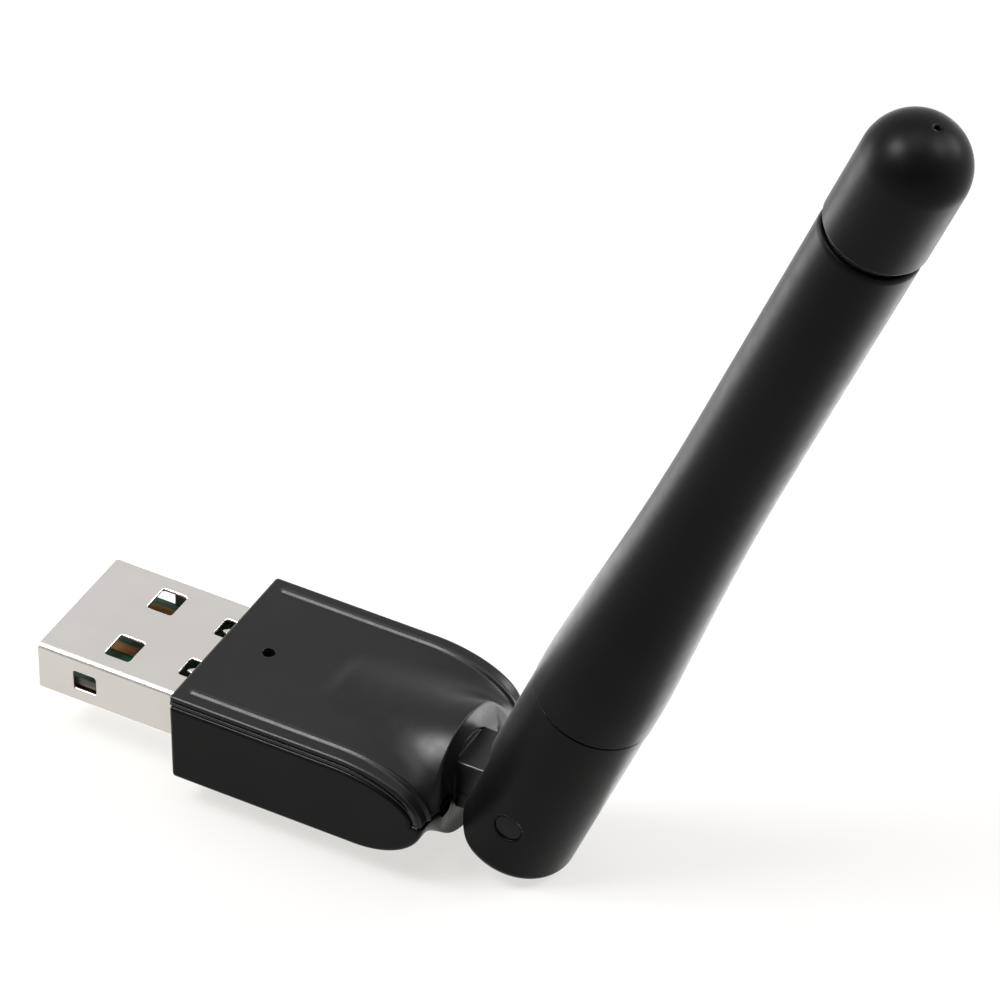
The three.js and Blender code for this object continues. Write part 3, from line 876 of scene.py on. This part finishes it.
def cover(x, y, z):
    """The lid: beads on top, a groove and a set-back rim along each side, and the indicator's pinhole."""
    below_middle = side_outline(x, z) + GROOVE["middle"]
    run_out = 0.3 * np.maximum(x - GROOVE["end"], 0)  # the groove grows shallow towards its end
    groove_floor = BODY_HALF_WIDTH - GROOVE["depth"] + run_out
    groove = all_of(np.abs(below_middle) - GROOVE["width"] / 2, groove_floor - np.abs(y))
    lip = all_of(below_middle, BODY_HALF_WIDTH - LIP_INSET - np.abs(y))
    edge, bead_fillet = 0.09, 0.06
    outside = rounded(edge, blended(bead_fillet, housing(x, y, z), beads(x, y, z)), -groove, -lip)
    lid = rounded(edge, outside, PARTING_GAP / 2 - above_parting(x, z))
    pinhole = np.hypot(x - LED_HOLE["x"], y) - LED_HOLE["radius"]
    return all_of(rounded(0.05, lid, -pinhole), -housing_room(x, y, z))


def case(x, y, z):
    """The tub, with the plug's way in its front wall and four posts under the board."""
    rim, plug_clearance = 0.32, 0.1
    tub = rounded(rim, housing(x, y, z), above_parting(x, z) + PARTING_GAP / 2)
    plug_way = all_of(plug_section(y, z, -plug_clearance), x - WALL - 1)
    tub = all_of(rounded(0.1, tub, -plug_way), -housing_room(x, y, z))
    floor = WALL - BODY_HALF_HEIGHT
    posts = [
        block((x, np.abs(y), z), (px - 0.8, 4.8, floor - 0.3), (px + 0.8, 6.4, -BOARD_THICKNESS - 0.02), 0.15)
        for px in (5.0, 14.6)
    ]
    return any_of(tub, *posts)


body_x = graded(-0.25, (1.6, 0.08), (11, 0.25), (22.15, 0.12))
body_y = graded(
    -8.3, (-7.7, 0.045), (-7.1, 0.12), (-6.4, 0.06), (-5.6, 0.12),
    (5.6, 0.16), (6.4, 0.12), (7.1, 0.06), (7.7, 0.12), (8.3, 0.045),
)
cover_axes = (body_x, body_y, graded(-0.2, (2.8, 0.1), (4.3, 0.045), (5.4, 0.12)))
case_axes = (body_x, body_y, graded(-5.7, (-3.4, 0.1), (0, 0.2), (2.6, 0.12), (3.25, 0.05)))
add_piece(moulded("cover", cover, cover_axes), ["top_cover"], "housing", "black_plastic", HOUSING)
add_piece(moulded("case", case, case_axes), ["bottom_case"], "housing", "black_plastic", SHADED_CASE)


# ---- Neck -----------------------------------------------------------------------------------
NECK_CABLE_ROUTE = [
    (16, 0, 0),
    (22.4, 0, 0),
    (23.6, 0, -0.5),
    (24.7, 0, -1.35),
    (25.7, 0, -1.8),
    (27, 0, -1.8),
]


def neck(x, y, z):
    """Shaft and flange in the barrel, then the square tongue with the pin's hole in its round end."""
    p = (x, y, z)
    shaft = any_of(
        rod_x(p, NECK_START, BARREL_END, SHAFT_RADIUS, 0.03),
        rod_x(p, FLANGE_START, FLANGE_END, FLANGE_RADIUS, 0.1),
    )
    pin_x = HINGE.x / MM
    around_pin = np.where(x > pin_x, np.hypot(x - pin_x, z), np.abs(z)) - TONGUE_HALF
    tongue = rounded(0.22, around_pin, np.abs(y) - TONGUE_HALF, TONGUE_START - x)
    seam_height, seam_radius = -0.7, 0.07
    seam = np.hypot(np.abs(y) - TONGUE_HALF, z - seam_height) - seam_radius
    seam = all_of(seam, BARREL_END + 0.4 - x)
    hole = np.hypot(x - pin_x, z) - PIN_HOLE
    below_pin = block(p, (23.4, -CABLE_WAY, -5), (40, CABLE_WAY, -1.3))
    way = any_of(capsule_chain(p, NECK_CABLE_ROUTE, CABLE_WAY), below_pin)
    return rounded(0.05, any_of(shaft, all_of(tongue, -seam)), -hole, -way)


neck_axes = (
    graded(17.2, (30.1, 0.1)),
    graded(-4.2, (-2.6, 0.16), (-2.0, 0.06), (2.0, 0.13), (2.6, 0.06), (4.2, 0.16)),
    graded(
        -4.2, (-2.6, 0.16), (-2.0, 0.06), (-0.9, 0.11), (-0.5, 0.04),
        (2.0, 0.13), (2.6, 0.06), (4.2, 0.16),
    ),
)
add_piece(moulded("neck", neck, neck_axes), ["swivel_neck"], "neck", "antenna_plastic", NECK)


# ---- Antenna --------------------------------------------------------------------------------
def antenna_base(x, y, z):
    """The forked foot, in the antenna's own frame: z along it, -x the side that the neck folds to."""
    outside = rounded(0.9, np.hypot(x, y) - BASE_RADIUS, BASE_LOW - z)
    about_pin = np.where((x < 0) & (z < 0), np.hypot(x, z), np.maximum(-x, -z)) + BASE_LOW
    outside = rounded(0.25, outside, about_pin)
    outside = rounded(0.08, outside, z - BASE_HIGH)
    slot = rounded(0.2, np.abs(y) - SLOT_HALF, x - SLOT_BACK, z - SLOT_TOP)
    hole = np.hypot(x, z) - PIN_HOLE
    foot = rounded(0.12, rounded(0.15, outside, -slot), -hole)
    spigot = all_of(np.hypot(x, y) - SPIGOT_RADIUS, BASE_HIGH - 1.4 - z, z - SPIGOT_HIGH)
    way = all_of(np.hypot(x, y) - BASE_CABLE_WAY, SLOT_TOP - 1 - z)
    return all_of(any_of(foot, spigot), -way)


base_axes = (
    graded(-5, (5, 0.11)),
    graded(-5, (-2.7, 0.11), (-2.1, 0.07), (2.1, 0.13), (2.7, 0.07), (5, 0.11)),
    graded(-5.5, (3, 0.11), (12.0, 0.3), (12.6, 0.05), (16, 0.3)),
)


ROUND_SEGMENTS = 128


def sleeve_radius(station):
    along = max(0, min(1, (station - FLARE_FROM) / (FLARE_TO - FLARE_FROM)))
    t = float(ease(along**FLARE_LEAD))
    return SLEEVE_RADIUS_LOW + t * (SLEEVE_RADIUS - SLEEVE_RADIUS_LOW)


def sleeve_mesh():
    """The flared tube, open at both ends."""
    steps, straight = 27, [50.0, 58.0]
    flare = [FLARE_FROM + (FLARE_TO - FLARE_FROM) * i / steps for i in range(steps + 1)]
    outer = [[SLEEVE_LOW, SLEEVE_RADIUS_LOW, 0.12]]
    outer += [[s, sleeve_radius(s), 0] for s in flare + straight]
    outer += [[SLEEVE_HIGH - 0.3, SLEEVE_RADIUS, 0.2], [SLEEVE_HIGH, SLEEVE_RADIUS - 0.12, 0.08]]
    inner = [[s, r - SLEEVE_WALL, 0] for s, r, _ in outer[::-1]]
    return lathed("sleeve", filleted(outer + inner), ANTENNA_PLACE, ROUND_SEGMENTS, closed=True)


def cap_mesh():
    """The domed end: a spigot in the sleeve, a neck that shows as a groove, and a mark at the tip."""
    low, spigot, bore = 63.0, 2.75, 1.9
    dome_base = CAP_TIP - CAP_RADIUS
    corners = [[dome_base, 0, 0], [dome_base, bore, 0], [low, bore, 0], [low, spigot, 0.1]]
    corners += [[SLEEVE_HIGH + 0.15, spigot, 0], [SLEEVE_HIGH + 0.15, CAP_NECK_RADIUS, 0.05]]
    corners += [[CAP_LOW, CAP_NECK_RADIUS, 0.05], [CAP_LOW, CAP_RADIUS, 0.12], [dome_base - 2, CAP_RADIUS, 0]]
    path = filleted(corners)
    steps, mark = 24, 0.28
    last = math.acos(mark / CAP_RADIUS)
    for i in range(steps + 1):
        angle = last * i / steps
        path.append((dome_base + CAP_RADIUS * math.sin(angle), CAP_RADIUS * math.cos(angle)))
    rim = path[-1][0]
    path += [(rim - 0.06, mark - 0.02), (rim - 0.35, mark - 0.06), (rim - 0.4, mark - 0.12), (rim - 0.4, 0)]
    return lathed("cap", path, ANTENNA_PLACE, ROUND_SEGMENTS)


def pin_mesh():
    """The hinge pin, with rounded ends."""
    half, radius = 4.65, 1.1
    end = [[-half, 0, 0], [-half, radius, 0.12]]
    corners = end + [[-s, r, f] for s, r, f in end[::-1]]
    return lathed("pin", filleted(corners), ANTENNA_PLACE @ Matrix.Rotation(math.pi / 2, 4, "X"), 64)


foot = moulded("foot", antenna_base, base_axes, ANTENNA_PLACE)
add_piece(foot, ["antenna_base"], "antenna", "antenna_plastic", ANTENNA)
add_piece(sleeve_mesh(), ["antenna_sleeve"], "antenna", "antenna_plastic", ANTENNA, weighted=True)
add_piece(cap_mesh(), ["antenna_cap"], "antenna", "antenna_plastic", CAP, weighted=True)
add_piece(pin_mesh(), ["hinge_pin"], "antenna", "pin_steel", PIN_STEEL, weighted=True)


# ---- Carried-over CAD nodes -----------------------------------------------------------------
def dress(node, material):
    """A hidden CAD node keeps its shape: it gets its finish, smooth shading and softened edges."""
    piece = frame["nodes"][node]
    piece.data.materials.clear()
    piece.data.materials.append(material)
    weld = piece.modifiers.new("weld", "WELD")
    weld.merge_threshold = 1e-6
    bevel = piece.modifiers.new("soft_edges", "BEVEL")
    bevel.width = 0.04 * MM
    bevel.segments = 2
    bevel.angle_limit = math.radians(40)
    piece.modifiers.new("weighted_normals", "WEIGHTED_NORMAL")
    piece.data.shade_smooth()


for node in ("coax_on_board", "coax_in_neck", "coax_in_antenna"):
    dress(node, JACKET)
for node in ("radiator_sleeve", "radiator_wire"):
    dress(node, BRASS)


# ---- Stage, lights and camera ---------------------------------------------------------------
DARK_SIDE = (0.373, -0.676, 0.636)


def add_floor():
    """A pale table that is also lit from below, which keeps the shadows on it faint."""
    surface = Surface("light_table", (0.16, 0.16, 0.16), 0.9, specular=0.1)
    surface.vary_color(surface.noise(30), (0.158, 0.158, 0.158), (0.162, 0.162, 0.162))
    surface.set("Emission Color", (1, 0.985, 0.955, 1))
    surface.set("Emission Strength", 0.66)
    mesh = bpy.data.meshes.new("floor")
    reach = 2.0
    height = cad_bounds[0].z - 0.3 * MM
    signs = ((-1, -1), (1, -1), (1, 1), (-1, 1))
    corners = [(reach * a, reach * b, height) for a, b in signs]
    mesh.from_pydata(corners, [], [(0, 1, 2, 3)])
    mesh.materials.append(surface.material)
    floor = bpy.data.objects.new("floor", mesh)
    bpy.context.scene.collection.objects.link(floor)


def add_softbox(name, direction, distance, size, power):
    """A square area light that faces the object from a direction."""
    light = bpy.data.lights.new(name, "AREA")
    light.size = size
    light.energy = power
    lamp = bpy.data.objects.new(name, light)
    towards = Vector(direction).normalized()
    centre = (cad_bounds[0] + cad_bounds[1]) / 2
    lamp.location = centre + towards * distance
    lamp.rotation_mode = "QUATERNION"
    lamp.rotation_quaternion = (-towards).to_track_quat("-Z", "Y")
    bpy.context.scene.collection.objects.link(lamp)


def add_glow(name, low, high, power):
    """A patch of the table that shines upwards, between two corners in millimetres."""
    light = bpy.data.lights.new(name, "AREA")
    light.shape = "RECTANGLE"
    light.size = (high[0] - low[0]) * MM
    light.size_y = (high[1] - low[1]) * MM
    light.energy = power
    lamp = bpy.data.objects.new(name, light)
    lamp.location = ((low[0] + high[0]) / 2 * MM, (low[1] + high[1]) / 2 * MM, cad_bounds[0].z - 0.25 * MM)
    lamp.rotation_euler = (math.pi, 0, 0)
    lamp.visible_camera = False
    bpy.context.scene.collection.objects.link(lamp)


def set_world():
    """Pale surroundings that fall off towards DARK_SIDE, as behind a camera in a darkened room."""
    world = bpy.data.worlds.new("studio")
    world.use_nodes = True
    nodes, links = world.node_tree.nodes, world.node_tree.links
    direction = nodes.new("ShaderNodeTexCoord")
    facing = nodes.new("ShaderNodeVectorMath")
    facing.operation = "DOT_PRODUCT"
    facing.inputs[1].default_value = Vector(DARK_SIDE).normalized()
    level = nodes.new("ShaderNodeMapRange")
    level.interpolation_type = "SMOOTHSTEP"
    for socket, value in (("From Min", 0.1), ("From Max", 0.95), ("To Min", 0.96), ("To Max", 0.12)):
        level.inputs[socket].default_value = value
    links.new(direction.outputs["Generated"], facing.inputs[0])
    links.new(facing.outputs["Value"], level.inputs["Value"])
    links.new(level.outputs["Result"], nodes["Background"].inputs["Strength"])
    nodes["Background"].inputs["Color"].default_value = (0.985, 0.99, 1.01, 1)
    bpy.context.scene.world = world


def add_camera():
    camera = bpy.data.cameras.new("camera")
    camera.lens = 234
    camera.sensor_width = 36
    camera.clip_start = 0.01
    body = bpy.data.objects.new("camera", camera)
    body.location = Vector((200.94, -319.69, 327.70)) * MM
    target = Vector((12.67, 20.90, 7.435)) * MM
    body.rotation_mode = "QUATERNION"
    body.rotation_quaternion = (target - body.location).to_track_quat("-Z", "Y")
    bpy.context.scene.collection.objects.link(body)
    bpy.context.scene.camera = body


add_floor()
set_world()
add_softbox("key", (-0.385, -0.393, 0.835), 0.6, 0.23, 5.2)
add_softbox("far_right", (0.60, 0.25, 0.72), 0.6, 0.24, 2.2)
add_softbox("back", (0.66, 0.64, 0.4), 0.6, 0.22, 1.8)
add_softbox("overhead", (0.1, -0.05, 1.0), 0.6, 0.35, 1.5)
add_softbox("left", (-0.97, -0.05, 0.05), 0.25, 0.12, 0.42)
add_glow("table_left", (-60, -4), (5, 35), 0.031)
add_glow("table_far_left", (-170, -4), (-60, 55), 0.135)
add_glow("table_right", (24, 6), (95, 60), 0.03)
add_camera()
bpy.context.scene.view_settings.view_transform = "Standard"
